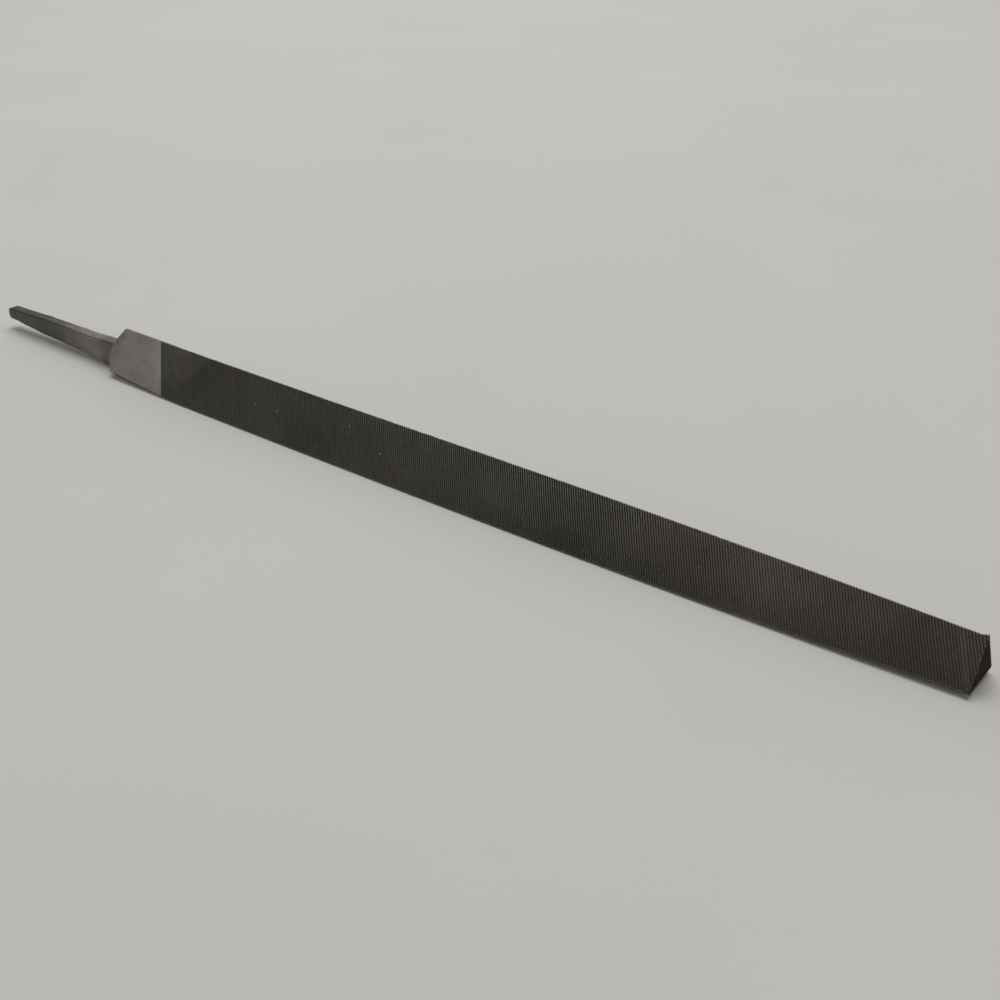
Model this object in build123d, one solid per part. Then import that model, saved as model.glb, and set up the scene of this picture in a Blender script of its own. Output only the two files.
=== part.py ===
from build123d import *
import math
import os

# A three-square file: one bar of hard steel, with a three-cornered body cut with teeth
# and a bare tang. It lies on one face. X runs along it to the point and Z is up.
# The origin is under the middle of its whole length, in the plane that it lies on,
# which is the plane of its tooth tips.

# Body, in millimetres
BODY_LENGTH = 305.0         # from the shoulder to the point
SIDE = 19.0                 # side of the triangle, measured to its sharp corners
POINT_SIDE = 14.4           # side of the triangle at the blunt point
PARALLEL_LENGTH = 160.0     # the sides run level this far from the shoulder, then taper
TAPER_RUNS = 6              # the curved taper is ground in this many straight runs
EDGE_LAND = 0.8             # width of the narrow flat along each edge

# Heel
SHOULDER_ROUND = 7.5        # radius that turns the body's end into its three corners
RELIEF_LENGTH = 42.0        # the two lower edges draw in over this length
RELIEF_DEPTH = 2.2          # how far they have drawn in at the shoulder
RELIEF_CORNER = 3.5         # radius at the shoulder end of that relief
RELIEF_TURN = 135.0         # direction that the relief faces, in degrees from straight up

# Teeth: the up-cut rows, slanting across each face
TOOTH_PITCH = 0.766         # from one row to the next, along the file
TOOTH_DEPTH = 0.3
TOOTH_ANGLE = 65.0          # degrees between a row and the file's length
TOOTH_LEAN = 13.0           # degrees that the front of a tooth leans back
TIP_BELOW_FACE = 0.02       # the tooth tips lie this far under the blank's ground face
HEEL_BELOW_TIPS = 0.05      # the bare heel lies a little lower than the tooth tips
BARE_HEEL = 27.5            # from the shoulder to the first row, at mid-face
TEETH_IN_GANG = 40          # rows that are cut together, in one straight run

# Tang: rounded rectangles at four places, each with its top side so far above the centre line
TANG_LENGTH = 67.5
TANG_EDGE_ROUND = 0.9
TIP_ROUND = 1.1             # the blunt tip is rounded over by this much
TIP_WIDTH = 4.6
TIP_HEIGHT = 4.0
TIP_TOP = 2.5
BELLY_RUN = 23.0            # from the tip to where it stops growing taller
BELLY_WIDTH = 4.7
BELLY_HEIGHT = 6.4
BELLY_TOP = 3.3
FLARE_LENGTH = 17.0         # from where it starts to flare, to the shoulder
NECK_WIDTH = 5.2
NECK_HEIGHT = 7.5
NECK_TOP = 3.5
ROOT_WIDTH = 6.6            # at the shoulder
ROOT_HEIGHT = 9.6
ROOT_TOP = 4.3
ROOT_ROUND = 1.8

# Worked out from the sizes above
HEEL_X = (TANG_LENGTH - BODY_LENGTH) / 2
POINT_X = HEEL_X + BODY_LENGTH
TAPER_X = HEEL_X + PARALLEL_LENGTH
TAPER_RUN = POINT_X - TAPER_X
TANG_TIP_X = HEEL_X - TANG_LENGTH
FACE_DISTANCE = SIDE / (2 * math.sqrt(3))
POINT_FACE_DISTANCE = POINT_SIDE / (2 * math.sqrt(3))
CENTRE_HEIGHT = FACE_DISTANCE - TIP_BELOW_FACE
LAND_CUT = EDGE_LAND * math.sqrt(3) / 2
LAND_DISTANCE = 2 * FACE_DISTANCE - LAND_CUT
POINT_LAND_DISTANCE = 2 * POINT_FACE_DISTANCE - LAND_CUT
FRONT_RUN = math.tan(math.radians(TOOTH_LEAN))
ROOT_RUN = TOOTH_DEPTH * FRONT_RUN
REACH = 2 * SIDE            # more than the file measures across
CENTRE_LINE = Axis((0, 0, CENTRE_HEIGHT), (1, 0, 0))
SIDE_VIEW = Plane(origin=(0, 0, CENTRE_HEIGHT), x_dir=(1, 0, 0), z_dir=(0, -1, 0))
FACE_TURNS = (60, 180, 300)
EDGE_TURNS = (0, 120, 240)
TIP_TURNS = (0, 45, 90)


def taper_fall(x, whole_fall):
    """How far a side has fallen at x, on the arc that falls by whole_fall at the point."""
    radius = (TAPER_RUN ** 2 + whole_fall ** 2) / (2 * whole_fall)
    run = max(x - TAPER_X, 0)
    return radius - math.sqrt(radius ** 2 - run ** 2)


def ground_side(distance, point_distance):
    """The stock under one ground side, which faces up: level first, then falling to the point."""
    start = HEEL_X - SIDE
    stations = [TAPER_X + TAPER_RUN * run / TAPER_RUNS for run in range(TAPER_RUNS + 2)]
    side = [(x, distance - taper_fall(x, distance - point_distance)) for x in stations]
    outline = Polyline(
        (start, -REACH), (start, distance), *side, (stations[-1], -REACH), close=True
    )
    return extrude(SIDE_VIEW * make_face(outline), REACH, both=True)


def heel_relief():
    """The stock left by the relief of one edge, which faces up before it is turned."""
    land_corner = Vector(EDGE_LAND / 2, LAND_DISTANCE)
    lean = math.radians(RELIEF_TURN - EDGE_TURNS[1])
    edge = land_corner.dot(Vector(math.sin(lean), math.cos(lean)))
    heel = edge - RELIEF_DEPTH
    slope = RELIEF_DEPTH / RELIEF_LENGTH
    end = POINT_X + SIDE
    outline = Polyline(
        (HEEL_X, -REACH), (HEEL_X, heel), (end, heel + slope * (end - HEEL_X)), (end, -REACH),
        close=True,
    )
    stock = make_face(outline)
    corner = stock.vertices().sort_by_distance((HEEL_X, heel, 0))[0]
    return extrude(SIDE_VIEW * fillet(corner, RELIEF_CORNER), REACH, both=True)


def turned_envelope():
    """The round the body fits in: square at the point, rounded over at the shoulder."""
    radius = 2 * FACE_DISTANCE
    half = make_face(Polyline(
        (HEEL_X, 0), (HEEL_X, radius), (POINT_X, radius), (POINT_X, 0), close=True
    ))
    corner = half.vertices().sort_by_distance((HEEL_X, radius, 0))[0]
    return revolve(SIDE_VIEW * fillet(corner, SHOULDER_ROUND), CENTRE_LINE)


def ground_body():
    """The triangular body before its teeth are cut."""
    body = turned_envelope()
    face = ground_side(FACE_DISTANCE, POINT_FACE_DISTANCE)
    for turn in FACE_TURNS:
        body = body & face.rotate(CENTRE_LINE, turn)
    land = ground_side(LAND_DISTANCE, POINT_LAND_DISTANCE)
    for turn in EDGE_TURNS:
        body = body & land.rotate(CENTRE_LINE, turn)
    relief = heel_relief()
    for turn in (RELIEF_TURN, -RELIEF_TURN):
        body = body & relief.rotate(CENTRE_LINE, turn)
    return body


def tang_section(x, width, height, top, corner_round=TANG_EDGE_ROUND):
    """A rounded rectangle across the tang, with its top side this far above the centre line."""
    middle = CENTRE_HEIGHT + top - height / 2
    plane = Plane(origin=(x, 0, middle), x_dir=(0, 1, 0), z_dir=(1, 0, 0))
    return plane * RectangleRounded(width, height, corner_round)


def rounded_tip():
    """The sections that round the tang's blunt tip over, from its end to its full size."""
    sections = []
    for turn in TIP_TURNS:
        inset = TIP_ROUND * (1 - math.sin(math.radians(turn)))
        x = TANG_TIP_X + TIP_ROUND * (1 - math.cos(math.radians(turn)))
        width = TIP_WIDTH - 2 * inset
        height = TIP_HEIGHT - 2 * inset
        corner_round = TANG_EDGE_ROUND * width / TIP_WIDTH
        sections.append(tang_section(x, width, height, TIP_TOP - inset, corner_round))
    return sections


def tang():
    """The forged tang: a blunt tip, a slow taper, a flare and a root let into the body."""
    belly_x = TANG_TIP_X + BELLY_RUN
    neck_x = HEEL_X - FLARE_LENGTH
    inside_x = HEEL_X + SHOULDER_ROUND
    return loft([
        *rounded_tip(),
        tang_section(belly_x, BELLY_WIDTH, BELLY_HEIGHT, BELLY_TOP),
        tang_section(neck_x, NECK_WIDTH, NECK_HEIGHT, NECK_TOP),
        tang_section(HEEL_X, ROOT_WIDTH, ROOT_HEIGHT, ROOT_TOP, ROOT_ROUND),
        tang_section(inside_x, ROOT_WIDTH, ROOT_HEIGHT, ROOT_TOP, ROOT_ROUND),
    ], ruled=True)


def stock_along_rows(start_x, end_x, points):
    """Stock whose profile runs on along the rows, over a face that is turned up."""
    whole_fall = FACE_DISTANCE - POINT_FACE_DISTANCE
    face_height = CENTRE_HEIGHT + FACE_DISTANCE
    start = Vector(start_x, 0, face_height - taper_fall(start_x, whole_fall))
    end = Vector(end_x, 0, face_height - taper_fall(end_x, whole_fall))
    along = (end - start).normalized()
    slant = math.radians(TOOTH_ANGLE)
    row = Vector(0, 1, 0) * math.sin(slant) - along * math.cos(slant)
    across = Plane(origin=start, x_dir=along, z_dir=(0, -1, 0))
    section = across * make_face(Polyline(*points, close=True))
    return extrude(section, SIDE, dir=tuple(row), both=True)


def tooth_gang(start_x):
    """The stock taken out by one straight gang of rows."""
    back_run = (TOOTH_PITCH - ROOT_RUN) / TOOTH_DEPTH
    rise = TIP_BELOW_FACE + TOOTH_DEPTH
    points = [(-rise * FRONT_RUN, TOOTH_DEPTH)]
    for tooth in range(TEETH_IN_GANG):
        points.append((tooth * TOOTH_PITCH + ROOT_RUN, -rise))
        points.append(((tooth + 1) * TOOTH_PITCH, -TIP_BELOW_FACE))
    points[-1] = (TEETH_IN_GANG * TOOTH_PITCH + rise * back_run, TOOTH_DEPTH)
    return stock_along_rows(start_x, start_x + TEETH_IN_GANG * TOOTH_PITCH, points)


def heel_skim(first_x):
    """The thin skin ground off the bare heel, up to the first row."""
    run = first_x - HEEL_X + SIDE
    depth = TIP_BELOW_FACE + HEEL_BELOW_TIPS
    points = [(-run, TOOTH_DEPTH), (-run, -depth), (ROOT_RUN, -depth), (ROOT_RUN, TOOTH_DEPTH)]
    return stock_along_rows(first_x, TAPER_X, points)


def cut_faces(body):
    """Skim the heel and cut the up-cut rows into all three faces, as far as the point."""
    gang_length = TEETH_IN_GANG * TOOTH_PITCH
    first_x = HEEL_X + BARE_HEEL
    slant_run = SIDE / 2 / math.tan(math.radians(TOOTH_ANGLE))
    gangs = math.ceil((POINT_X + slant_run - first_x) / gang_length)
    cutters = [tooth_gang(first_x + gang * gang_length) for gang in range(gangs)]
    cutters.append(heel_skim(first_x))
    for turn in FACE_TURNS:
        body = body - [cutter.rotate(CENTRE_LINE, turn) for cutter in cutters]
    return body


three_square_file = cut_faces(ground_body() + tang())

os.makedirs("parts", exist_ok=True)
export_step(three_square_file, "parts/three_square_file.step")
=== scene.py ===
import math

import bmesh
import bpy
from bpy.props import FloatProperty, FloatVectorProperty, PointerProperty
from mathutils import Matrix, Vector


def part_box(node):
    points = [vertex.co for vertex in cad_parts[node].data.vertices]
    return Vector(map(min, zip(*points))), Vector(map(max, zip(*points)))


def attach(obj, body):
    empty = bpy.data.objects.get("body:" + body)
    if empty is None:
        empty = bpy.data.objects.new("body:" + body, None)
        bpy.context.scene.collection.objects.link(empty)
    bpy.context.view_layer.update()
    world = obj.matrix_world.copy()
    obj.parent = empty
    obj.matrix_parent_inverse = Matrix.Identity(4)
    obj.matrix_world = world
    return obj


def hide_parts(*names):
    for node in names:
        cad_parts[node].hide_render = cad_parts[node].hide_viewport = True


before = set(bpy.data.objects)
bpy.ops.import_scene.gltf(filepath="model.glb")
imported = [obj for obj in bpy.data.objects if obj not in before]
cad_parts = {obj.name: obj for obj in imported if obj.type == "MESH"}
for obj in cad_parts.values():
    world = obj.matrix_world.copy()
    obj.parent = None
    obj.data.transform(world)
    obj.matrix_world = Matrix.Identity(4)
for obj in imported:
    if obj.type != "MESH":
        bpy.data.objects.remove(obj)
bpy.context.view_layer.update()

bl_info = {
    "name": "Three-square file",
    "version": (1, 0, 0),
    "blender": (4, 5, 0),
    "location": "View3D > Sidebar > File",
    "description": "Cuts a three-square file's second rows of teeth, and makes its steel and its stage",
    "category": "Object",
}

# The frame's solid gives the overall size. Lengths are in metres.
NODE = "three_square_file"
BODY = "root"
MM = 0.001
FILE_LOW, FILE_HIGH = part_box(NODE)
TANG_TIP_X = FILE_LOW.x
POINT_X = FILE_HIGH.x
BODY_LENGTH = 305 * MM
HEEL_X = POINT_X - BODY_LENGTH  # the shoulder
PARALLEL_LENGTH = 160 * MM
TAPER_X = HEEL_X + PARALLEL_LENGTH
TIP_BELOW_FACE = 0.02 * MM      # the tooth tips lie this far under the ground face
EDGE_LAND = 0.8 * MM            # width of the narrow flat along each edge
LAND_CUT = EDGE_LAND * math.sqrt(3) / 2
FACE_DISTANCE = (FILE_HIGH.z + LAND_CUT + TIP_BELOW_FACE) / 3
CENTRE_HEIGHT = FACE_DISTANCE - TIP_BELOW_FACE
POINT_SIDE = 14.4 * MM          # side of the triangle at the blunt point
POINT_FACE_DISTANCE = POINT_SIDE / (2 * math.sqrt(3))
POINT_LAND_DISTANCE = 2 * POINT_FACE_DISTANCE - LAND_CUT
FACE_TURNS = (60, 180, 300)     # degrees from straight up, the front face first
EDGE_TURNS = (0, 120, 240)      # the top edge, the front edge and the back edge
SHOULDER_ROUND = 7.5 * MM       # the solid's shoulder is rounded by this much
SHOULDER_FLAT = 5.3 * MM        # the real shoulder slopes back outside this distance from mid-line
SHOULDER_SLOPE = 0.86           # how fast it slopes back
BARE_HEEL = 27.5 * MM           # from the shoulder to the first up-cut row, at mid-face
UP_CUT_ANGLE = math.radians(65)  # between the up-cut rows and the file's length
TANG_EVENS = 5 * MM             # the tang's skin evens out over this last bit before the shoulder
BURR_RUN = 2 * MM               # the burrs rise over this last bit before the point
BURR_REACH = (POINT_LAND_DISTANCE - 0.7 * MM, POINT_LAND_DISTANCE - 0.1 * MM)  # and between these
BOW_MIDDLE = 0.33               # keeps the warped file in the middle on average

# How the mesh is worked
PLACE = "straight_place"        # attribute: where a point was before the file warped
SKIN = 0.02 * MM                # a hair's breadth, to tell one region from the next
SAME_REACH = 0.0002 * MM        # faces whose distances differ by less are equally near
WELD = 0.0001 * MM              # points closer than this are one
ON_PLANE = 0.002 * MM           # points this close to a cut count as on it
TANG_SLICE = 1.5 * MM           # the tang is sliced this finely, so that its skin can be uneven
TANG_LAYER = 1.2 * MM
SMOOTH_TO = HEEL_X + 23 * MM    # the heel is shaded smooth up to here
SHARP_ANGLE = math.radians(28)
FLAT_ANGLE = math.radians(0.5)  # facets of the cut body that turn by less than this are joined
SAME_PLANE = math.radians(0.02)  # and in the solid's own skin, by less than this
LAND_TILT = math.radians(5)     # a land faces along its edge's direction to within this
SHOULDER_FACING = -0.06         # the shoulder faces back along the file by more than this
SHEET_BACK = 1.0 * MM           # from a second row's bottom to the back of the sheet that cuts it
REACH = 9.6 * MM                # half the width of that sheet

# Marks on the front face, in millimetres from the shoulder and up from mid-face
NICKS = ((74.1, 0.0), (84.0, 0.3), (114.0, 3.5), (128.4, -1.1))
NICK_RADIUS = 0.42
RUST_SPOT = (304.8, 1.4)
RUST_SPOT_RADIUS = 0.85
RUST_STAIN = (305.3, -1.2)
RUST_STAIN_RADIUS = 2.4
MARK_CORE = 0.3                 # a mark is full up to this share of its radius

# Where the steel changes along the file, in millimetres from the shoulder: from here to there
TANG_DARKENS = (-42.0, -13.0)
NECK_DARKENS = (-11.0, -7.0)
ROOT_LIGHTENS = (-3.5, 0.5)
SHOULDER_STARTS = (-0.6, 0.1)
HEEL_STAIN_FADES = (2.5, 9.0)
RUBBED_STRIP = (22.0, 26.5)     # the heel is rubbed brighter next to its teeth
FIRST_ROW = (BARE_HEEL / MM - 0.3, BARE_HEEL / MM + 0.3)
LANDS_START = (BARE_HEEL / MM - 0.5, BARE_HEEL / MM + 2.0)
CROSSING_STARTS = (-1.5, 2.0)   # about the first of the second rows
WEAR_GROWS = (60.0, 185.0)
WEAR_FADES = (200.0, 268.0)
# Low on a face: crests with wear and a painted highlight, and grooves with painted shade
LOW_ZONE_GROWS = (130.0, 190.0)    # the crests between the second rows
LOW_ZONE_FADES = (215.0, 260.0)
TEETH_BROWN = (170.0, 265.0)
TEETH_DARKEN = (235.0, 300.0)
SHEEN_FADES = (220.0, 285.0)

# Where it changes up a face, in millimetres from mid-face, and below the tooth tips
FACE_EDGE = 9.1                 # the edge of a face
LOWER_PART = (-FACE_EDGE, 0.4 * FACE_EDGE)
LOWER_STRIP = (-5.0, -1.0)
UPPER_PART = (0.5, 8.5)
FIRST_ROWS_SHALLOW = (-7.0, 8.0)
SHALLOW_RUN = 2.2               # how much further on they begin at the upper edge
TIP_DEPTHS = (0.01, 0.10)
ROOT_DEPTHS = (0.08, 0.26)
GROOVE_BOTTOM = (0.12, 0.30)    # as a share of the pitch, from a second row's bottom
MIDDLE_NOISE = (0.3, 0.7)       # nearly all values of noise lie between these

# The lamps: where they hang, and their sides
TOP_LAMP = (-0.35, 0.9, 3.15)
SIDE_LAMP = (-2.8, -2.8, 1.75)
BACK_LAMP = (-2.8, 2.8, 1.75)
TOP_LAMP_SIZE = 2.45
SIDE_LAMP_SIZE = 1.75
LAMP_COLOUR = (1.0, 0.985, 0.96)
NEAREST_SEEN = 10 * MM          # the camera sees nothing nearer than this

# Socket kinds and other words of the node trees
NUMBER = "NodeSocketFloat"
VECTOR = "NodeSocketVector"
COLOUR = "NodeSocketColor"
SOLID = "NodeSocketGeometry"
STEEL = "NodeSocketMaterial"
EVEN = (1.0, 1.0, 1.0)
SHAPE_INPUTS = (
    "Row pitch", "Row angle", "First row", "Deep edge depth", "Shallow edge depth", "Row height", "Row lean",
    "Forging relief", "Burr height", "Warp",
)
STEEL_INPUTS = ("Ground steel", "Tooth steel", "Forged steel", "End steel")


# Nodes

def add_node(tree, kind, inputs=None, **settings):
    """A new node with its settings, and with its inputs linked to sockets or set to values."""
    node = tree.nodes.new(kind)
    for name, value in settings.items():
        setattr(node, name, value)
    for key, value in (inputs or {}).items():
        if isinstance(value, bpy.types.NodeSocket):
            tree.links.new(value, node.inputs[key])
        else:
            node.inputs[key].default_value = value
    return node


def maths(tree, operation, *values):
    """The result of one Math node."""
    return add_node(tree, "ShaderNodeMath", dict(enumerate(values)), operation=operation).outputs[0]


def product(tree, first, *others):
    """Several values multiplied together."""
    for other in others:
        first = maths(tree, "MULTIPLY", first, other)
    return first


def highest(tree, first, *others):
    """The highest of several values."""
    for other in others:
        first = maths(tree, "MAXIMUM", first, other)
    return first


def vectors(tree, operation, first, second):
    """The result of one Vector Math node."""
    node = add_node(tree, "ShaderNodeVectorMath", {0: first, 1: second}, operation=operation)
    return node.outputs["Value" if operation in ("DOT_PRODUCT", "DISTANCE") else "Vector"]


def scaled(tree, vector, factor):
    """A vector times a number."""
    inputs = {"Vector": vector, "Scale": factor}
    return add_node(tree, "ShaderNodeVectorMath", inputs, operation="SCALE").outputs["Vector"]


def split(tree, vector):
    """The three parts of a vector."""
    return add_node(tree, "ShaderNodeSeparateXYZ", {0: vector}).outputs


def joined(tree, x=0.0, y=0.0, z=0.0):
    """A vector from its three parts."""
    return add_node(tree, "ShaderNodeCombineXYZ", {0: x, 1: y, 2: z}).outputs[0]


def ramp(tree, value, span, to=(0.0, 1.0), shape="SMOOTHSTEP"):
    """A value taken from one span of values into another, and held at its ends."""
    node = add_node(tree, "ShaderNodeMapRange", {
        "Value": value, "From Min": span[0], "From Max": span[1], "To Min": to[0], "To Max": to[1],
    }, interpolation_type=shape)
    return node.outputs["Result"]


def noise(tree, place, scale, detail=3.0, stretch=EVEN):
    """Cloudy noise about a half, with its place stretched first."""
    stretched = vectors(tree, "MULTIPLY", place, stretch)
    inputs = {"Vector": stretched, "Scale": scale, "Detail": detail}
    return add_node(tree, "ShaderNodeTexNoise", inputs).outputs[0]


def patches(tree, place, scale, span, to=(0.0, 1.0), detail=3.0, stretch=EVEN, shape="SMOOTHSTEP"):
    """Cloudy patches: noise with a span of its values taken into another."""
    return ramp(tree, noise(tree, place, scale, detail, stretch), span, to, shape)


def blend_colours(tree, factor, first, second, mode="MIX"):
    """Two colours mixed by a factor."""
    inputs = {0: factor, 6: first, 7: second}
    return add_node(tree, "ShaderNodeMix", inputs, data_type="RGBA", blend_type=mode).outputs[2]


def tone_colour(tree, colour, tone):
    """A colour made lighter or darker by a number."""
    grey = add_node(tree, "ShaderNodeCombineColor", {0: tone, 1: tone, 2: tone}).outputs[0]
    return blend_colours(tree, 1.0, colour, grey, "MULTIPLY")


def open_group(name, kind, inputs, outputs):
    """An empty node group, and the sockets inside it. Each has a name, a kind and perhaps a value."""
    tree = bpy.data.node_groups.new(name, kind)
    for direction, sockets in (("INPUT", inputs), ("OUTPUT", outputs)):
        for label, socket_kind, *value in sockets:
            socket = tree.interface.new_socket(label, in_out=direction, socket_type=socket_kind)
            if value:
                socket.default_value = value[0]
    return tree, tree.nodes.new("NodeGroupInput").outputs, tree.nodes.new("NodeGroupOutput").inputs


def use_group(tree, build, **inputs):
    """The outputs of a shared node group, which is built when it is first asked for."""
    group = bpy.data.node_groups.get(build.__name__) or build(build.__name__)
    named = {name.capitalize(): value for name, value in inputs.items()}
    return add_node(tree, "ShaderNodeGroup", named, node_tree=group).outputs


# The file's own directions

def outward(turn):
    """The direction away from the middle line, turned from straight up."""
    angle = math.radians(turn)
    return (0.0, -math.sin(angle), math.cos(angle))


def front_face_point(along, across):
    """A place on the front face in millimetres, from its distances along and up the face."""
    x = HEEL_X + along * MM
    past = max(x - TAPER_X, 0.0) / (POINT_X - TAPER_X)
    reach = FACE_DISTANCE - (FACE_DISTANCE - POINT_FACE_DISTANCE) * past ** 2
    out = Vector(outward(FACE_TURNS[0])) * reach
    up = Vector(outward(FACE_TURNS[0] - 90)) * across * MM
    return (Vector((x, 0.0, CENTRE_HEIGHT)) + out + up) / MM


def taper_fall(tree, x):
    """How far a face has fallen towards the middle line at x."""
    along = maths(tree, "DIVIDE", maths(tree, "SUBTRACT", x, TAPER_X), POINT_X - TAPER_X)
    past = maths(tree, "MAXIMUM", along, 0.0)
    return product(tree, past, past, FACE_DISTANCE - POINT_FACE_DISTANCE)


def nearest_face(tree, place):
    """How deep a place lies under its nearest ground face, and how far up that face it is."""
    from_line = vectors(tree, "SUBTRACT", place, (0.0, 0.0, CENTRE_HEIGHT))
    reaches = [vectors(tree, "DOT_PRODUCT", from_line, outward(turn)) for turn in FACE_TURNS]
    reach = highest(tree, *reaches)
    nearly = maths(tree, "SUBTRACT", reach, SAME_REACH)
    across = 0.0
    for turn, out in zip(FACE_TURNS, reaches):
        up_the_face = vectors(tree, "DOT_PRODUCT", from_line, outward(turn - 90))
        is_nearest = maths(tree, "GREATER_THAN", out, nearly)
        across = maths(tree, "MULTIPLY_ADD", is_nearest, up_the_face, across)
    ground = maths(tree, "SUBTRACT", FACE_DISTANCE, taper_fall(tree, split(tree, place)[0]))
    return maths(tree, "SUBTRACT", ground, reach), across


def station_of_row(tree, along, across, angle):
    """Where the row that passes through a place crosses mid-face."""
    return maths(tree, "ADD", along, maths(tree, "DIVIDE", across, math.tan(angle)))


# Geometry: the second rows, the forged skin, the burrs and the warp

def position(tree):
    """Where each point is."""
    return tree.nodes.new("GeometryNodeInputPosition").outputs[0]


def moved(tree, geometry, offset):
    """A shape with its points moved."""
    return add_node(tree, "GeometryNodeSetPosition", {"Geometry": geometry, "Offset": offset}).outputs[0]


def groove_sheet(tree, given):
    """A sheet of grooves over the middle line: a box whose underside is folded into rows."""
    first_row = maths(tree, "ADD", given["First row"], HEEL_X)
    span = maths(tree, "SUBTRACT", POINT_X + REACH, first_row)
    rows = maths(tree, "CEIL", maths(tree, "DIVIDE", span, given["Row pitch"]))
    folds = maths(tree, "MULTIPLY", rows, 2.0)
    box = add_node(tree, "GeometryNodeMeshCube", {
        "Size": EVEN, "Vertices X": maths(tree, "ADD", folds, 1.0), "Vertices Y": 2, "Vertices Z": 2,
    })
    axes = split(tree, position(tree))
    fold = maths(tree, "ROUND", product(tree, maths(tree, "ADD", axes[0], 0.5), folds))
    in_groove = maths(tree, "MODULO", fold, 2.0)
    lean = maths(tree, "MULTIPLY", in_groove, given["Row lean"])
    row = maths(tree, "ADD", maths(tree, "DIVIDE", fold, 2.0), lean)
    station = maths(tree, "MULTIPLY_ADD", row, given["Row pitch"], first_row)
    across = maths(tree, "MULTIPLY", axes[1], 2 * REACH)
    slant = maths(tree, "DIVIDE", across, maths(tree, "TANGENT", given["Row angle"]))
    x = maths(tree, "ADD", station, slant)

    edge_depths = (given["Deep edge depth"], given["Shallow edge depth"])
    depth = ramp(tree, axes[1], (-0.5, 0.5), edge_depths, "LINEAR")
    sunk = maths(tree, "ADD", taper_fall(tree, x), depth)
    crest = product(tree, maths(tree, "SUBTRACT", 1.0, in_groove), given["Row height"])
    back = product(tree, maths(tree, "GREATER_THAN", axes[2], 0.0), SHEET_BACK)
    height = maths(tree, "SUBTRACT", highest(tree, crest, back), sunk)
    place = joined(tree, x, across, maths(tree, "ADD", height, FACE_DISTANCE))
    inputs = {"Geometry": box.outputs["Mesh"], "Position": place}
    return add_node(tree, "GeometryNodeSetPosition", inputs).outputs[0]


def cut_rows(tree, given):
    """The file with a sheet of grooves taken out of each face."""
    centres = add_node(tree, "GeometryNodeMeshLine", {
        "Count": len(FACE_TURNS), "Start Location": (0, 0, CENTRE_HEIGHT), "Offset": (0, 0, 0),
    })
    index = tree.nodes.new("GeometryNodeInputIndex").outputs[0]
    step = math.radians(FACE_TURNS[1] - FACE_TURNS[0])
    turn = maths(tree, "MULTIPLY_ADD", index, step, math.radians(FACE_TURNS[0]))
    sheets = add_node(tree, "GeometryNodeInstanceOnPoints", {
        "Points": centres.outputs[0], "Instance": groove_sheet(tree, given), "Rotation": joined(tree, turn),
    })
    inputs = {"Mesh 1": given["File"], "Mesh 2": sheets.outputs[0]}
    return add_node(
        tree, "GeometryNodeMeshBoolean", inputs, operation="DIFFERENCE", solver="MANIFOLD").outputs[0]


def set_aside_place(tree, geometry):
    """Keeps every point's place as an attribute, for the steel's finish."""
    inputs = {"Geometry": geometry, "Name": PLACE, "Value": position(tree)}
    return add_node(
        tree, "GeometryNodeStoreNamedAttribute", inputs, data_type="FLOAT_VECTOR", domain="POINT").outputs[0]


def coat(tree, geometry, given):
    """Gives each region its steel: forged tang, ground heel and lands, cut teeth, and sawn end."""
    place = position(tree)
    normal = tree.nodes.new("GeometryNodeInputNormal").outputs[0]
    x = split(tree, place)[0]
    across = nearest_face(tree, place)[1]
    station = station_of_row(tree, x, across, UP_CUT_ANGLE)
    is_cut = maths(tree, "GREATER_THAN", station, HEEL_X + BARE_HEEL - SKIN)
    towards_edges = [vectors(tree, "DOT_PRODUCT", normal, outward(turn)) for turn in EDGE_TURNS]
    not_land = maths(tree, "LESS_THAN", highest(tree, *towards_edges), math.cos(LAND_TILT))
    on_tang = maths(tree, "LESS_THAN", x, HEEL_X - SKIN)
    near_shoulder = maths(tree, "LESS_THAN", x, HEEL_X + SHOULDER_ROUND)
    faces_back = maths(tree, "LESS_THAN", split(tree, normal)[0], SHOULDER_FACING)
    on_shoulder = maths(tree, "MULTIPLY", near_shoulder, faces_back)
    regions = (
        1.0,
        maths(tree, "MULTIPLY", is_cut, not_land),
        maths(tree, "MAXIMUM", on_tang, on_shoulder),
        maths(tree, "GREATER_THAN", x, POINT_X - SKIN),
    )
    for steel, region in zip(STEEL_INPUTS, regions):
        selection = maths(tree, "GREATER_THAN", region, 0.5)
        geometry = add_node(tree, "GeometryNodeSetMaterial", {
            "Geometry": geometry, "Selection": selection, "Material": given[steel],
        }).outputs[0]
    smooth = maths(tree, "LESS_THAN", x, SMOOTH_TO)
    return add_node(tree, "GeometryNodeSetShadeSmooth", {
        "Geometry": geometry, "Selection": smooth, "Shade Smooth": True,
    }).outputs[0]


def roughen_tang(tree, geometry, given):
    """Raises and sinks the tang's skin a little, as its forging left it."""
    place = position(tree)
    in_mm = scaled(tree, place, 1 / MM)
    broad = noise(tree, in_mm, scale=0.16, detail=1.0)
    fine = noise(tree, in_mm, scale=0.55, detail=1.0)
    uneven = maths(tree, "MULTIPLY_ADD", fine, 0.4, maths(tree, "SUBTRACT", broad, 0.8))
    free = ramp(tree, split(tree, place)[0], (HEEL_X - TANG_EVENS, HEEL_X), to=(1.0, 0.0))
    amount = product(tree, uneven, free, given["Forging relief"])
    normal = tree.nodes.new("GeometryNodeInputNormal").outputs[0]
    return moved(tree, geometry, scaled(tree, normal, amount))


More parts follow.
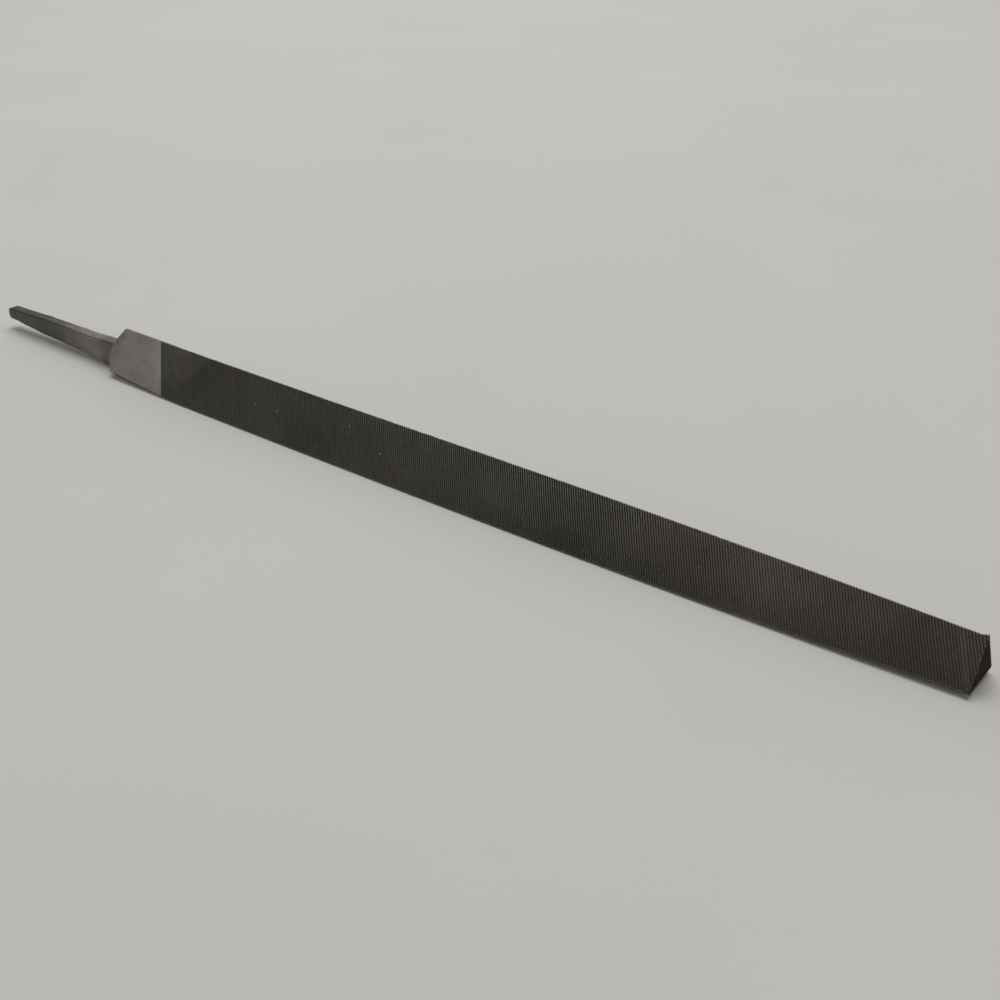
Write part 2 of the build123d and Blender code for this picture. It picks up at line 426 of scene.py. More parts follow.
def raise_burrs(tree, geometry, given):
    """Turns up a burr where the two edges in sight meet the sawn end."""
    place = position(tree)
    from_line = vectors(tree, "SUBTRACT", place, (0.0, 0.0, CENTRE_HEIGHT))
    near_end = ramp(tree, split(tree, place)[0], (POINT_X - BURR_RUN, POINT_X))
    for turn in EDGE_TURNS[:2]:
        on_edge = ramp(tree, vectors(tree, "DOT_PRODUCT", from_line, outward(turn)), BURR_REACH)
        amount = product(tree, near_end, on_edge, given["Burr height"])
        geometry = moved(tree, geometry, scaled(tree, outward(turn), amount))
    return geometry


def warp(tree, geometry, given):
    """Bows the whole file sideways, as hardening left it, with its two ends off to one side."""
    along = maths(tree, "DIVIDE", split(tree, position(tree))[0], POINT_X)
    bowed = maths(tree, "SUBTRACT", maths(tree, "MULTIPLY", along, along), BOW_MIDDLE)
    return moved(tree, geometry, joined(tree, y=maths(tree, "MULTIPLY", bowed, given["Warp"])))


def finished_file():
    """The tree that turns the plain blank into the file as it is seen."""
    inputs = [("File", SOLID)]
    inputs += [(name, NUMBER) for name in SHAPE_INPUTS]
    inputs += [(name, STEEL) for name in STEEL_INPUTS]
    tree, given, made = open_group("finished_file", "GeometryNodeTree", inputs, [("File", SOLID)])
    geometry = set_aside_place(tree, cut_rows(tree, given))
    for step in (coat, roughen_tang, raise_burrs, warp):
        geometry = step(tree, geometry, given)
    whole = add_node(tree, "GeometryNodeRealizeInstances", {0: geometry})
    tree.links.new(whole.outputs[0], made[0])
    return tree


def shape_by_tree(blank, tree, values):
    """The plain mesh that a tree makes of a blank, with its inputs set by name."""
    modifier = blank.modifiers.new(tree.name, "NODES")
    modifier.node_group = tree
    for item in tree.interface.items_tree:
        if item.item_type == "SOCKET" and item.in_out == "INPUT" and item.name in values:
            modifier[item.identifier] = values[item.name]
    graph = bpy.context.evaluated_depsgraph_get()
    mesh = bpy.data.meshes.new_from_object(blank.evaluated_get(graph))
    blank.modifiers.remove(modifier)
    return mesh


# Meshes

def flatten(bm, verts, angle):
    """Joins the facets between these points that lie flat beside each other, so that slivers go."""
    chosen = set(verts)
    edges = [edge for edge in bm.edges if chosen.issuperset(edge.verts)]
    bmesh.ops.dissolve_limit(
        bm, angle_limit=angle, verts=verts, edges=edges, use_dissolve_boundaries=False,
        delimit={"MATERIAL"})


def slope_shoulder(bm):
    """Draws the solid's rounded shoulder out into the cone that the real one has."""
    for vert in bm.verts:
        if HEEL_X - SKIN < vert.co.x < HEEL_X + SHOULDER_ROUND:
            from_line = math.hypot(vert.co.y, vert.co.z - CENTRE_HEIGHT)
            cone_x = HEEL_X + (from_line - SHOULDER_FLAT) * SHOULDER_SLOPE
            vert.co.x = max(vert.co.x, cone_x)


def slice_tang(bm, places, normal):
    """Cuts the tang's skin along parallel planes and keeps all of it."""
    for place in places:
        verts = [vert for vert in bm.verts if vert.co.x < HEEL_X + SKIN]
        edges = dict.fromkeys(edge for vert in verts for edge in vert.link_edges)
        faces = dict.fromkeys(face for edge in edges for face in edge.link_faces)
        bmesh.ops.bisect_plane(
            bm, geom=[*verts, *edges, *faces], plane_co=place, plane_no=normal, dist=ON_PLANE)


def steps(low, high, spacing):
    """Evenly spaced values between two ends, without the ends."""
    count = round((high - low) / spacing)
    return [low + (high - low) * step / count for step in range(1, count)]


def blank_mesh():
    """The frame's own solid, joined into one skin, with its tang finely sliced."""
    bm = bmesh.new()
    bm.from_mesh(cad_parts[NODE].data)
    bmesh.ops.remove_doubles(bm, verts=bm.verts, dist=WELD)
    flatten(bm, list(bm.verts), SAME_PLANE)
    slope_shoulder(bm)
    slice_tang(bm, [(x, 0, 0) for x in steps(TANG_TIP_X, HEEL_X, TANG_SLICE)], (1, 0, 0))
    slice_tang(bm, [(0, 0, z) for z in steps(0, 2 * FACE_DISTANCE, TANG_LAYER)], (0, 0, 1))
    slice_tang(bm, [(0, y, 0) for y in (-TANG_LAYER, 0, TANG_LAYER)], (0, 1, 0))
    mesh = bpy.data.meshes.new("file_blank")
    bm.to_mesh(mesh)
    bm.free()

    # The solid's stored normals no longer fit the sloped shoulder
    if mesh.has_custom_normals:
        mesh.attributes.remove(mesh.attributes["custom_normal"])
    return mesh


def mark_sharp(bm):
    """Keeps the shading of smooth regions from running over sharp edges and from steel to steel."""
    bm.normal_update()
    for edge in bm.edges:
        steels = {face.material_index for face in edge.link_faces}
        edge.smooth = len(steels) == 1 and edge.calc_face_angle(math.pi) <= SHARP_ANGLE


def dressed_mesh(context, settings):
    """The file's finished skin, with its steels."""
    steels = {
        "Ground steel": ground_steel(settings),
        "Tooth steel": tooth_steel(settings),
        "Forged steel": forged_steel(settings),
        "End steel": end_steel(settings),
    }
    sizes = {name: getattr(settings, name.lower().replace(" ", "_")) for name in SHAPE_INPUTS}
    blank = bpy.data.objects.new("file_blank", blank_mesh())
    context.scene.collection.objects.link(blank)

    # The blank has a steel from the start, so that no slot of the finished mesh is empty
    blank.data.materials.append(steels["Ground steel"])
    mesh = shape_by_tree(blank, finished_file(), {**sizes, **steels})
    bpy.data.objects.remove(blank)
    if not mesh.polygons:
        raise RuntimeError("the second rows could not be cut")
    bm = bmesh.new()
    bm.from_mesh(mesh)
    flatten(bm, [vert for vert in bm.verts if vert.co.x > HEEL_X + SKIN], FLAT_ANGLE)
    mark_sharp(bm)
    bm.to_mesh(mesh)
    bm.free()
    return mesh


def make_file(context, settings):
    """Makes the file from the frame's solid, with its second rows, its skin and its steel."""
    piece = bpy.data.objects.new("hand_file", dressed_mesh(context, settings))
    context.scene.collection.objects.link(piece)
    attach(piece, BODY)
    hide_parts(NODE)


# Effects that the steels share

def file_place(name):
    """Places on the file in millimetres: along from the shoulder, across a face and below it."""
    outputs = (("Place", VECTOR), ("Along", NUMBER), ("Across", NUMBER), ("Depth", NUMBER))
    tree, _, made = open_group(name, "ShaderNodeTree", (), outputs)
    place = add_node(tree, "ShaderNodeAttribute", attribute_name=PLACE).outputs["Vector"]
    depth, across = nearest_face(tree, place)
    along = maths(tree, "SUBTRACT", split(tree, place)[0], HEEL_X)
    tree.links.new(scaled(tree, place, 1 / MM), made["Place"])
    for label, length in (("Along", along), ("Across", across), ("Depth", depth)):
        tree.links.new(maths(tree, "DIVIDE", length, MM), made[label])
    return tree


def cloudy_tone(name):
    """A multiplier that drifts about one, in broad clouds with finer ones inside."""
    inputs = (("Place", VECTOR), ("Size", NUMBER, 8.0), ("Amount", NUMBER, 0.3))
    tree, given, made = open_group(name, "ShaderNodeTree", inputs, (("Tone", NUMBER),))
    small = maths(tree, "DIVIDE", 1.0, given["Size"])
    broad = noise(tree, given["Place"], small, detail=2.0)
    fine = noise(tree, given["Place"], maths(tree, "MULTIPLY", small, 6.0), detail=4.0)
    mixed = maths(tree, "MULTIPLY_ADD", fine, 0.5, broad)
    drift = maths(tree, "SUBTRACT", mixed, 0.75)
    swing = product(tree, drift, maths(tree, "MULTIPLY", given["Amount"], 4.0))
    tree.links.new(maths(tree, "ADD", swing, 1.0), made["Tone"])
    return tree


def grinding_lines(name):
    """The height of fine lines that run across a face, as a wheel leaves them."""
    inputs = (("Along", NUMBER, 0.0), ("Across", NUMBER, 0.0))
    tree, given, made = open_group(name, "ShaderNodeTree", inputs, (("Lines", NUMBER),))
    place = joined(tree, given["Along"], given["Across"])
    elsewhere = joined(tree, given["Along"], given["Across"], 5.0)
    coarse = noise(tree, place, scale=1.0, stretch=(2.2, 0.10, 1.0))
    fine = noise(tree, elsewhere, scale=1.0, detail=2.0, stretch=(9.0, 0.35, 1.0))
    lines = maths(tree, "MULTIPLY_ADD", fine, 0.5, maths(tree, "MULTIPLY", coarse, 0.5))
    tree.links.new(lines, made["Lines"])
    return tree


def rust_film(name):
    """Thin brown rust in scattered patches, over a colour."""
    inputs = (("Color", COLOUR), ("Place", VECTOR), ("Amount", NUMBER, 0.2), ("Rust", COLOUR))
    outputs = (("Color", COLOUR), ("Mask", NUMBER))
    tree, given, made = open_group(name, "ShaderNodeTree", inputs, outputs)
    broad = noise(tree, given["Place"], scale=0.12, detail=4.0, stretch=(0.6, 1.3, 1.3))
    grains = noise(tree, given["Place"], scale=1.6)
    both = maths(tree, "MULTIPLY_ADD", grains, 0.35, broad)
    starts = maths(tree, "MULTIPLY_ADD", given["Amount"], -0.35, 0.86)
    full = maths(tree, "ADD", starts, 0.20)
    mask = ramp(tree, both, (starts, full), to=(0.0, 0.6))
    tree.links.new(blend_colours(tree, mask, given["Color"], given["Rust"]), made["Color"])
    tree.links.new(mask, made["Mask"])
    return tree


def bright_specks(name):
    """A mask of tiny bright nicks, sown far apart."""
    inputs = (("Place", VECTOR), ("Spacing", NUMBER, 2.0), ("Radius", NUMBER, 0.12))
    tree, given, made = open_group(name, "ShaderNodeTree", inputs, (("Mask", NUMBER),))
    scale = maths(tree, "DIVIDE", 1.0, given["Spacing"])
    cells = add_node(tree, "ShaderNodeTexVoronoi", {"Vector": given["Place"], "Scale": scale})
    radius = maths(tree, "DIVIDE", given["Radius"], given["Spacing"])
    spot = ramp(tree, cells.outputs["Distance"], (0.0, radius), to=(1.0, 0.0))
    chosen = maths(tree, "GREATER_THAN", split(tree, cells.outputs["Color"])[0], 0.86)
    tree.links.new(maths(tree, "MULTIPLY", spot, chosen), made["Mask"])
    return tree


# Steps that the steels share

def new_steel(name):
    """An empty metal: itself, its tree, its surface and the file's places."""
    material = bpy.data.materials.new(name)
    material.use_nodes = True
    tree = material.node_tree
    surface = tree.nodes["Principled BSDF"]
    surface.inputs["Metallic"].default_value = 1.0
    return material, tree, surface, use_group(tree, file_place)


def add_bump(tree, surface, height, distance):
    """Small relief from a height."""
    inputs = {"Height": height, "Distance": distance, "Strength": 1.0}
    tree.links.new(add_node(tree, "ShaderNodeBump", inputs).outputs[0], surface.inputs["Normal"])


def clouded(tree, at, size, amount):
    """A tone that drifts about one in clouds of this size in millimetres."""
    return use_group(tree, cloudy_tone, place=at["Place"], size=size, amount=amount)["Tone"]


def lined(tree, at, contrast):
    """The grinding lines, and the tone that they give."""
    lines = use_group(tree, grinding_lines, along=at["Along"], across=at["Across"])["Lines"]
    return lines, ramp(tree, lines, MIDDLE_NOISE, (1.0 - contrast, 1.0 + contrast), "LINEAR")


def rusted(tree, at, colour, settings):
    """A colour with thin rust over it, and the rust's mask."""
    return use_group(
        tree, rust_film, color=colour, place=at["Place"], amount=settings.rust,
        rust=settings.rust_colour[:])


def marks(tree, at, spots, radius):
    """A mask of round marks on the front face."""
    mask = 0.0
    for along, across in spots:
        away = vectors(tree, "DISTANCE", at["Place"], front_face_point(along, across))
        mask = highest(tree, ramp(tree, away, (MARK_CORE * radius, radius), to=(1.0, 0.0)), mask)
    return mask


def rust_at_point(tree, at, colour, settings, strength):
    """The rust at the point: a brown stain and above it a light spot."""
    stain = product(tree, marks(tree, at, (RUST_STAIN,), RUST_STAIN_RADIUS), strength)
    colour = blend_colours(tree, stain, colour, settings.rust_colour[:])
    spot = marks(tree, at, (RUST_SPOT,), RUST_SPOT_RADIUS)
    return blend_colours(tree, spot, colour, settings.rust_spot_colour[:])


# The teeth

def tooth_base(tree, at, crossed, settings):
    """The teeth's own steel: cooler near the heel, and browner and darker towards the point, with painted
    shade towards a face's lower edge.
    """
    browner = ramp(tree, at["Along"], TEETH_BROWN, to=(0.1, 0.9))
    brown_patches = patches(tree, at["Place"], scale=0.09, span=(0.40, 0.66), to=(0.0, 0.5))
    warmth = highest(tree, browner, brown_patches)
    colour = blend_colours(tree, warmth, settings.tooth_colour[:], settings.warm_tooth_colour[:])
    clouds = clouded(tree, at, size=16.0, amount=0.16)
    mottle = patches(tree, at["Place"], scale=2.2, span=MIDDLE_NOISE, to=(0.78, 1.22), shape="LINEAR")
    darker = ramp(tree, at["Along"], TEETH_DARKEN, to=(1.0, 0.58))
    # Painted shade: the teeth darken towards a face's lower edge
    lower_shade = ramp(tree, at["Across"], LOWER_PART, to=(settings.low_side_tone, 1.0))
    colour = tone_colour(tree, colour, product(tree, clouds, mottle, darker, lower_shade))

    # Rows that the second cut never crossed look lighter
    starts = [settings.first_row / MM + offset for offset in CROSSING_STARTS]
    return tone_colour(tree, colour, ramp(tree, crossed, starts, to=(1.35, 1.0)))


def below_tips(tree, at, settings):
    """How deep a place lies under the tips of its teeth, which the second rows lowered."""
    half_width = REACH / MM
    edge_depths = (settings.deep_edge_depth / MM, settings.shallow_edge_depth / MM)
    bottom = ramp(tree, at["Across"], (-half_width, half_width), edge_depths, "LINEAR")
    crest = maths(tree, "SUBTRACT", bottom, settings.row_height / MM)
    tip = maths(tree, "MAXIMUM", crest, TIP_BELOW_FACE / MM)
    return maths(tree, "SUBTRACT", at["Depth"], tip)


def second_grooves(tree, crossed, settings):
    """A mask of the bottoms of the second rows' grooves."""
    first = maths(tree, "SUBTRACT", crossed, settings.first_row / MM)
    turns = maths(tree, "DIVIDE", first, settings.row_pitch / MM)
    phase = maths(tree, "FRACT", maths(tree, "SUBTRACT", turns, settings.row_lean))
    off_bottom = maths(tree, "ABSOLUTE", maths(tree, "SUBTRACT", phase, 0.5))
    return ramp(tree, off_bottom, GROOVE_BOTTOM, to=(1.0, 0.0))


def wear_and_grime(tree, at, crossed, settings):
    """Masks of the tips, bright from wear and from a painted highlight that is stronger high on a face, and
    of the painted shade in the roots.
    """
    below = below_tips(tree, at, settings)
    at_tip = ramp(tree, below, TIP_DEPTHS, to=(1.0, 0.0))
    # Painted shade in the roots of the teeth
    in_root = ramp(tree, below, ROOT_DEPTHS, to=(0.0, settings.grime))
    # Wear and a painted highlight on the tips, stronger high on a face where more light falls
    high_up = ramp(tree, at["Across"], UPPER_PART, to=(0.2, 1.0))
    past_heel = ramp(tree, at["Along"], WEAR_GROWS, to=(0.2, 1.0))
    short_of_point = ramp(tree, at["Along"], WEAR_FADES, to=(1.0, 0.3))
    patchy = patches(tree, at["Place"], scale=1.1, span=(0.36, 0.64), to=(0.2, 1.0))
    worn_and_lit = product(tree, at_tip, high_up, patchy, past_heel, short_of_point)
    # The painted root shade spreads past the heel and up a face
    root_shade_reach = maths(tree, "SQRT", maths(tree, "MULTIPLY", past_heel, high_up))
    root_shaded = product(tree, in_root, short_of_point, root_shade_reach)

    # Low on a face the second rows' grooves get painted shade, and the crests between them get wear and a
    # painted highlight
    low_zone = product(
        tree, ramp(tree, at["Across"], LOWER_STRIP, to=(1.0, 0.0)),
        ramp(tree, at["Along"], LOW_ZONE_GROWS, to=(0.2, 1.0)),
        ramp(tree, at["Along"], LOW_ZONE_FADES, to=(1.0, 0.3)))
    in_groove = second_grooves(tree, crossed, settings)
    on_crest = maths(tree, "SUBTRACT", 1.0, in_groove)
    worn_and_lit = highest(tree, worn_and_lit, product(tree, on_crest, low_zone, patchy, at_tip))
    root_shaded = highest(tree, root_shaded, product(tree, in_groove, low_zone, settings.grime))
    return maths(tree, "MULTIPLY", worn_and_lit, settings.tip_wear), root_shaded


def rows_begun(tree, at):
    """A mask of the teeth from where they begin, which is later towards the upper edge."""
    station = station_of_row(tree, at["Along"], at["Across"], UP_CUT_ANGLE)
    later = ramp(tree, at["Across"], FIRST_ROWS_SHALLOW, (0.0, SHALLOW_RUN), "LINEAR")
    return ramp(tree, maths(tree, "SUBTRACT", station, later), FIRST_ROW)


def bright_marks(tree, at):
    """A mask of the bright specks and nicks in the teeth."""
    specks = use_group(tree, bright_specks, place=at["Place"], spacing=2.2, radius=0.2)["Mask"]
    return highest(tree, maths(tree, "MULTIPLY", specks, 0.8), marks(tree, at, NICKS, NICK_RADIUS))


def tooth_steel(settings):
    """Cut teeth: dark oiled steel, with wear and a painted highlight on the tips and painted shade in the
    roots.
    """
    material, tree, surface, at = new_steel("tooth_steel")
    crossed = station_of_row(tree, at["Along"], at["Across"], -settings.row_angle)
    worn_and_lit, root_shaded = wear_and_grime(tree, at, crossed, settings)
    colour = tooth_base(tree, at, crossed, settings)
    # Wear and a painted highlight on the tips, then painted shade in the roots
    colour = blend_colours(tree, worn_and_lit, colour, settings.worn_colour[:])
    colour = blend_colours(tree, root_shaded, colour, settings.grime_colour[:])
    colour = blend_colours(tree, rows_begun(tree, at), settings.ground_colour[:], colour)
    rusty = rusted(tree, at, colour, settings)
    colour = rust_at_point(tree, at, rusty["Color"], settings, strength=0.45)
    colour = blend_colours(tree, bright_marks(tree, at), colour, settings.speck_colour[:])
    tree.links.new(colour, surface.inputs["Base Color"])

    # The painted root shade and the rust are rough and hardly metallic
    dull = highest(tree, root_shaded, rusty["Mask"])
    tree.links.new(maths(tree, "MULTIPLY_ADD", dull, 0.25, 0.42), surface.inputs["Roughness"])
    sheen = ramp(tree, at["Along"], SHEEN_FADES, to=(0.65, 0.32))
    metal = product(tree, sheen, maths(tree, "MULTIPLY_ADD", dull, -0.75, 1.0))
    tree.links.new(metal, surface.inputs["Metallic"])
    add_bump(tree, surface, noise(tree, at["Place"], scale=5.0), distance=0.02 * MM)
    return material


# The other steels

def ground_steel(settings):
    """The bare heel and the lands: satin ground steel with fine lines, smudges and a brown stain."""
    material, tree, surface, at = new_steel("ground_steel")
    lines, line_tone = lined(tree, at, contrast=0.1)
    station = station_of_row(tree, at["Along"], at["Across"], UP_CUT_ANGLE)
    tone = product(
        tree, clouded(tree, at, size=6.0, amount=0.12), line_tone,
        ramp(tree, station, RUBBED_STRIP, to=(1.0, 1.12)))
    colour = tone_colour(tree, settings.ground_colour[:], tone)

    # The lands beyond the heel are duller, and they brighten where hands have rubbed them; their light steel
    # is partly a painted highlight
    rubbed = patches(tree, at["Place"], scale=0.5, span=(0.30, 0.55), to=(0.35, 1.0))
    land = blend_colours(tree, rubbed, settings.warm_tooth_colour[:], settings.land_colour[:])
    colour = blend_colours(tree, ramp(tree, station, LANDS_START), colour, land)

    # Oil has browned the steel next to the shoulder
    drifting = maths(tree, "MULTIPLY_ADD", noise(tree, at["Place"], scale=0.35), 5.0, at["Along"])
    stain = ramp(tree, drifting, HEEL_STAIN_FADES, to=(0.4, 0.0))
    colour = blend_colours(tree, stain, colour, settings.stain_colour[:])
    smudges = patches(
        tree, at["Place"], scale=0.22, span=(0.54, 0.70), to=(0.0, 0.3), detail=2.0,
        stretch=(1.0, 1.6, 1.6))
    colour = blend_colours(tree, smudges, colour, settings.smudge_colour[:])
    rusty = rusted(tree, at, colour, settings)
    tree.links.new(rusty["Color"], surface.inputs["Base Color"])

    rough = maths(tree, "MULTIPLY_ADD", smudges, 0.3, 0.40)
    rough = maths(tree, "MULTIPLY_ADD", rusty["Mask"], 0.25, rough)
    tree.links.new(rough, surface.inputs["Roughness"])
    grain = noise(tree, at["Place"], scale=3.0)
    add_bump(tree, surface, maths(tree, "ADD", lines, grain), distance=0.02 * MM)
    return material


def forged_steel(settings):
    """The tang and the shoulder: forged steel, darker towards the tip, with brown oil stains."""
    material, tree, surface, at = new_steel("forged_steel")
    lines, line_tone = lined(tree, at, contrast=0.06)
    tone = product(
        tree, clouded(tree, at, size=10.0, amount=0.2), line_tone,
        ramp(tree, at["Along"], TANG_DARKENS, to=(settings.tip_tone, 1.0)),
        ramp(tree, at["Along"], NECK_DARKENS, to=(1.0, 0.7)),
        ramp(tree, at["Along"], ROOT_LIGHTENS, to=(1.0, 1.2)))
    colour = tone_colour(tree, settings.forged_colour[:], tone)
    browned = patches(
        tree, at["Place"], scale=0.13, span=(0.48, 0.64), to=(0.0, 0.35), stretch=(1.0, 1.4, 1.4))
    colour = blend_colours(tree, browned, colour, settings.stain_colour[:])
    tree.links.new(rusted(tree, at, colour, settings)["Color"], surface.inputs["Base Color"])
    tree.links.new(maths(tree, "MULTIPLY_ADD", browned, 0.15, 0.45), surface.inputs["Roughness"])
    metal = ramp(tree, at["Along"], SHOULDER_STARTS, to=(1.0, 0.4))
    tree.links.new(metal, surface.inputs["Metallic"])
    pits = noise(tree, at["Place"], scale=1.3, detail=4.0)
    add_bump(tree, surface, maths(tree, "ADD", pits, lines), distance=0.05 * MM)
    return material


def end_steel(settings):
    """The sawn end: dark scale with streaks, and the rust at the point."""
    material, tree, surface, at = new_steel("end_steel")
    colour = tone_colour(tree, settings.end_colour[:], clouded(tree, at, size=3.0, amount=0.5))
    streaks = noise(tree, at["Place"], scale=1.0, stretch=(1.0, 3.5, 0.25))
    streaked = ramp(tree, streaks, (0.5, 0.7), to=(0.0, 0.1))
    colour = blend_colours(tree, streaked, colour, settings.warm_tooth_colour[:])
    rusty = rusted(tree, at, colour, settings)
    colour = rust_at_point(tree, at, rusty["Color"], settings, strength=0.5)
    tree.links.new(colour, surface.inputs["Base Color"])
    tree.links.new(ramp(tree, streaks, MIDDLE_NOISE, to=(0.65, 0.8)), surface.inputs["Roughness"])
    surface.inputs["Metallic"].default_value = 0.0
    surface.inputs["Specular IOR Level"].default_value = 0.04
    grain = noise(tree, at["Place"], scale=2.0, detail=4.0)
    add_bump(tree, surface, maths(tree, "ADD", streaks, grain), distance=0.08 * MM)
    return material


# The stage

def add_lamp(context, name, place, size, watts):
    """A soft square light that is aimed at the file."""
    light = bpy.data.lights.new(name, "AREA")
    light.energy = watts
    light.size = size
    light.color = LAMP_COLOUR
    lamp = bpy.data.objects.new(name, light)
    context.scene.collection.objects.link(lamp)
    lamp.location = place
    lamp.rotation_euler = (-Vector(place)).to_track_quat("-Z", "Y").to_euler()


def add_floor(context, settings):
    """A plain pale floor under the file."""
    half = settings.floor_size / 2
    corners = [(-half, -half, 0), (half, -half, 0), (half, half, 0), (-half, half, 0)]
    mesh = bpy.data.meshes.new("floor")
    mesh.from_pydata(corners, [], [(0, 1, 2, 3)])
    material = bpy.data.materials.new("pale_floor")
    material.use_nodes = True
    tree = material.node_tree
    surface = tree.nodes["Principled BSDF"]
    place = tree.nodes.new("ShaderNodeTexCoord").outputs["Object"]
    tone = patches(tree, place, scale=6.0, span=MIDDLE_NOISE, to=(0.98, 1.02), detail=4.0, shape="LINEAR")
    tree.links.new(tone_colour(tree, settings.floor_colour[:], tone), surface.inputs["Base Color"])
    surface.inputs["Roughness"].default_value = 0.8
    mesh.materials.append(material)
    floor = bpy.data.objects.new("floor", mesh)
    context.scene.collection.objects.link(floor)


def add_camera(context, settings):
    """The photograph's own camera."""
    lens = bpy.data.cameras.new("photo_camera")
    lens.lens = settings.lens
    lens.clip_start = NEAREST_SEEN
    camera = bpy.data.objects.new("photo_camera", lens)
    context.scene.collection.objects.link(camera)
    camera.location = settings.camera_place
    yaw = settings.camera_yaw
    pitch = settings.camera_pitch
    ahead = Vector((math.sin(yaw) * math.cos(pitch), math.cos(yaw) * math.cos(pitch), -math.sin(pitch)))
    camera.rotation_euler = ahead.to_track_quat("-Z", "Y").to_euler()
    context.scene.camera = camera


def set_stage(context, settings):
    """Floor, light and camera."""
    world = bpy.data.worlds.new("studio")
    world.use_nodes = True
    background = world.node_tree.nodes["Background"]
    background.inputs["Color"].default_value = settings.floor_colour[:]
    background.inputs["Strength"].default_value = settings.world_strength
    context.scene.world = world
    context.scene.view_settings.view_transform = "Standard"
    add_floor(context, settings)
    add_lamp(context, "top_light", TOP_LAMP, TOP_LAMP_SIZE, settings.top_light)
    add_lamp(context, "side_light", SIDE_LAMP, SIDE_LAMP_SIZE, settings.side_light)
    add_lamp(context, "back_light", BACK_LAMP, SIDE_LAMP_SIZE, settings.back_light)
    add_camera(context, settings)


# The add-on

def a_length(name, description, millimetres):
    """A length property, given in millimetres and kept in metres."""
    return FloatProperty(
        name=name, description=description, default=millimetres * MM, unit="LENGTH", precision=5)


def a_share(name, description, share):
    """A property from nothing to all."""
    return FloatProperty(
        name=name, description=description, default=share, min=0.0, max=1.0, subtype="FACTOR")


def a_colour(name, description, red, green, blue):
    """A colour property."""
    return FloatVectorProperty(
        name=name, description=description, default=(red, green, blue, 1.0), size=4, min=0.0, max=1.0,
        subtype="COLOR")


def a_power(name, description, watts):
    """The strength of a lamp."""
    return FloatProperty(name=name, description=description, default=watts, min=0.0, unit="POWER")


def an_angle(name, description, degrees):
    """An angle property, given in degrees."""
    return FloatProperty(
        name=name, description=description, default=math.radians(degrees), subtype="ANGLE")


class FileSettings(bpy.types.PropertyGroup):
    """Sizes and colours of the file's teeth and steel"""
    row_pitch: a_length("Row pitch", "From one second row to the next, along the file", 0.966)
    row_angle: an_angle("Row angle", "Between the second rows and the file's length", 47)
    first_row: a_length("First row", "From the shoulder to the first second row, at mid-face", 41.1)
    deep_edge_depth: a_length("Deep edge depth", "Depth of the second rows at the lower edge", 0.34)
    shallow_edge_depth: a_length("Shallow edge depth", "The same at the upper edge", -0.14)
    row_height: a_length("Row height", "From the bottom of a second row to its crest", 0.27)
    row_lean: a_share("Row lean", "How far a row's bottom is off its middle", 0.15)
    forging_relief: a_length("Forging relief", "How uneven the tang's skin is", 0.35)
    burr_height: a_length("Burr height", "Height of the burrs on the sawn end", 0.45)
    warp: a_length("Warp", "How far the ends stand off to one side of the middle", 1.49)
    # Tip wear sets both the wear and the painted highlight on the tooth tips
    tip_wear: a_share("Tip wear", "How bright the tooth tips are worn", 0.85)
    # The Grime setting is painted shade in the roots and in the second rows' grooves
    grime: a_share("Grime", "How full of grime the roots of the teeth are", 0.85)
    # The low side tone is painted shade at a face's lower edge
    low_side_tone: a_share("Low side tone", "How light the teeth stay at a face's lower edge", 0.72)
    tip_tone: a_share("Tip tone", "How light the tang stays towards its tip", 0.40)
    rust: a_share("Rust", "How much thin rust there is", 0.15)
    tooth_colour: a_colour("Teeth", "Steel of the teeth where it is cool", 0.176, 0.175, 0.158)
    warm_tooth_colour: a_colour("Warm teeth", "Steel of the teeth where it is brown", 0.188, 0.165, 0.141)
    # The tips' colour is bare steel and a painted highlight
    worn_colour: a_colour("Worn tips", "Bare steel on the tooth tips", 0.60, 0.585, 0.54)
    # This colour is that of the painted shade in the roots
    grime_colour: a_colour("Grime colour", "Old oil and dust", 0.016, 0.014, 0.011)
    ground_colour: a_colour("Ground steel", "The bare heel", 0.20, 0.191, 0.180)
    # The lands' light colour is partly rubbed steel and partly a painted highlight
    land_colour: a_colour("Lands", "The rubbed narrow flats along the edges", 0.40, 0.38, 0.34)
    smudge_colour: a_colour("Smudges", "Finger marks on the heel", 0.145, 0.137, 0.118)
    forged_colour: a_colour("Forged steel", "The tang", 0.254, 0.240, 0.214)
    stain_colour: a_colour("Stains", "Brown stains on the tang and the heel", 0.13, 0.115, 0.088)
    end_colour: a_colour("End", "Scale on the sawn end", 0.0225, 0.0155, 0.0062)
    rust_colour: a_colour("Rust colour", "Thin rust", 0.125, 0.078, 0.048)
    rust_spot_colour: a_colour("Rust spot", "The one light spot, at the point", 0.165, 0.125, 0.085)
    speck_colour: a_colour("Specks", "Tiny bright nicks in the teeth", 0.80, 0.78, 0.72)


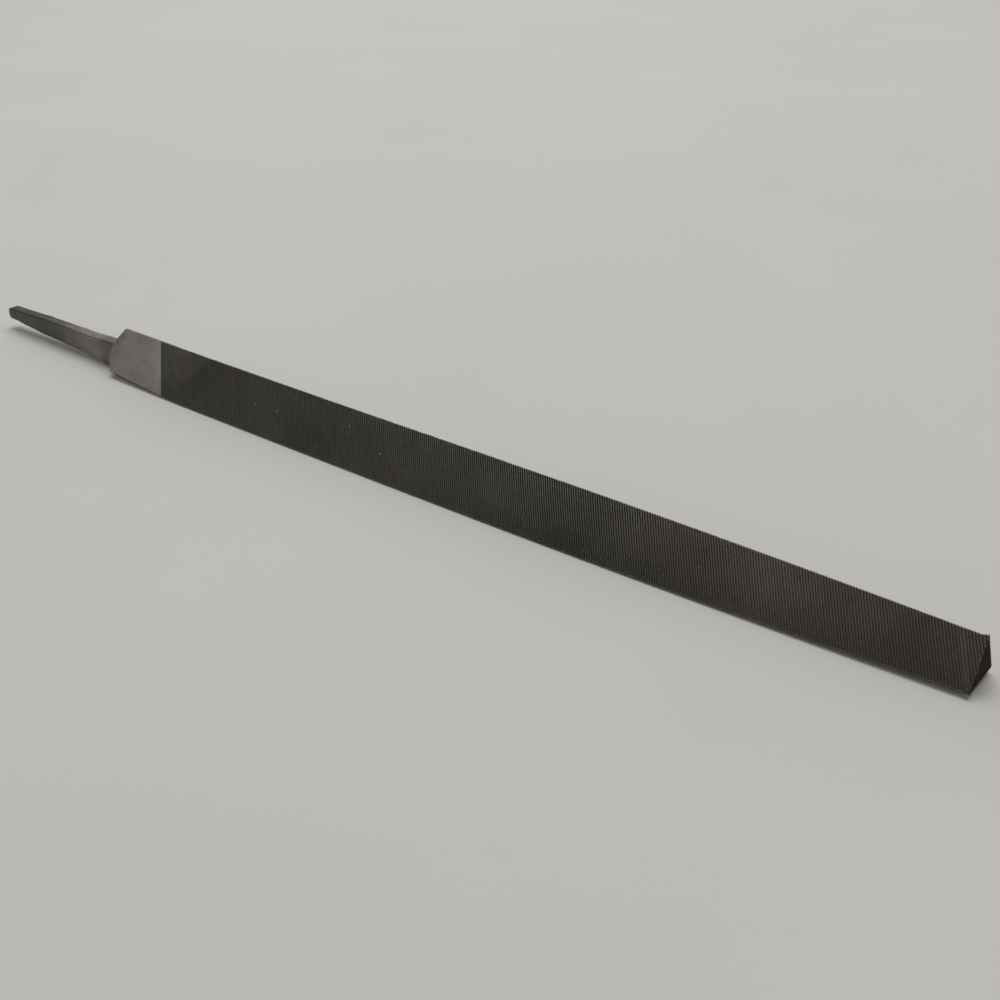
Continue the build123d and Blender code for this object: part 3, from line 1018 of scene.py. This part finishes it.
class StageSettings(bpy.types.PropertyGroup):
    """Floor, light and camera"""
    floor_size: a_length("Floor size", "Length of the square floor's side", 6000)
    floor_colour: a_colour("Floor colour", "The plain pale floor", 0.78, 0.77, 0.75)
    world_strength: FloatProperty(
        name="World", description="Strength of the even light", default=0.28, min=0.0)
    top_light: a_power("Top light", "Strength of the lamp overhead", 50.0)
    side_light: a_power("Side light", "Strength of the lamp that the front face reflects", 13.0)
    back_light: a_power("Back light", "Strength of the lamp that the upper sides reflect", 16.0)
    lens: FloatProperty(name="Lens", description="Focal length in millimetres", default=47.07, min=1.0)
    camera_place: FloatVectorProperty(
        name="Camera", description="Where the camera stands", default=(0.251321, -0.253557, 0.173239),
        subtype="TRANSLATION", unit="LENGTH")
    camera_yaw: an_angle("Yaw", "Turn of the camera from straight along Y", -38.461)
    camera_pitch: an_angle("Pitch", "How far the camera looks down", 27.752)


class HAND_FILE_OT_make(bpy.types.Operator):
    """Make the file from the frame's solid"""
    bl_idname = "hand_file.make"
    bl_label = "Make file"

    def execute(self, context):
        make_file(context, context.scene.hand_file)
        return {"FINISHED"}


class HAND_FILE_OT_stage(bpy.types.Operator):
    """Set the floor, the lights and the camera"""
    bl_idname = "hand_file.stage"
    bl_label = "Set stage"

    def execute(self, context):
        set_stage(context, context.scene.hand_file_stage)
        return {"FINISHED"}


class HAND_FILE_PT_panel(bpy.types.Panel):
    """The file's settings and operators"""
    bl_label = "Three-square file"
    bl_space_type = "VIEW_3D"
    bl_region_type = "UI"
    bl_category = "File"

    def draw(self, context):
        for settings, operator in (
            (context.scene.hand_file_stage, HAND_FILE_OT_stage),
            (context.scene.hand_file, HAND_FILE_OT_make),
        ):
            for name in settings.__annotations__:
                self.layout.prop(settings, name)
            self.layout.operator(operator.bl_idname)


CLASSES = (FileSettings, StageSettings, HAND_FILE_OT_make, HAND_FILE_OT_stage, HAND_FILE_PT_panel)


def register():
    """Registers the classes and hangs the settings on the scene."""
    for each in CLASSES:
        bpy.utils.register_class(each)
    bpy.types.Scene.hand_file = PointerProperty(type=FileSettings)
    bpy.types.Scene.hand_file_stage = PointerProperty(type=StageSettings)


def unregister():
    """Takes the settings and the classes away again."""
    del bpy.types.Scene.hand_file_stage
    del bpy.types.Scene.hand_file
    for each in reversed(CLASSES):
        bpy.utils.unregister_class(each)


def main():
    """Builds the stage and the file."""
    register()
    bpy.ops.hand_file.stage()
    bpy.ops.hand_file.make()


if __name__ == "__main__":
    main()
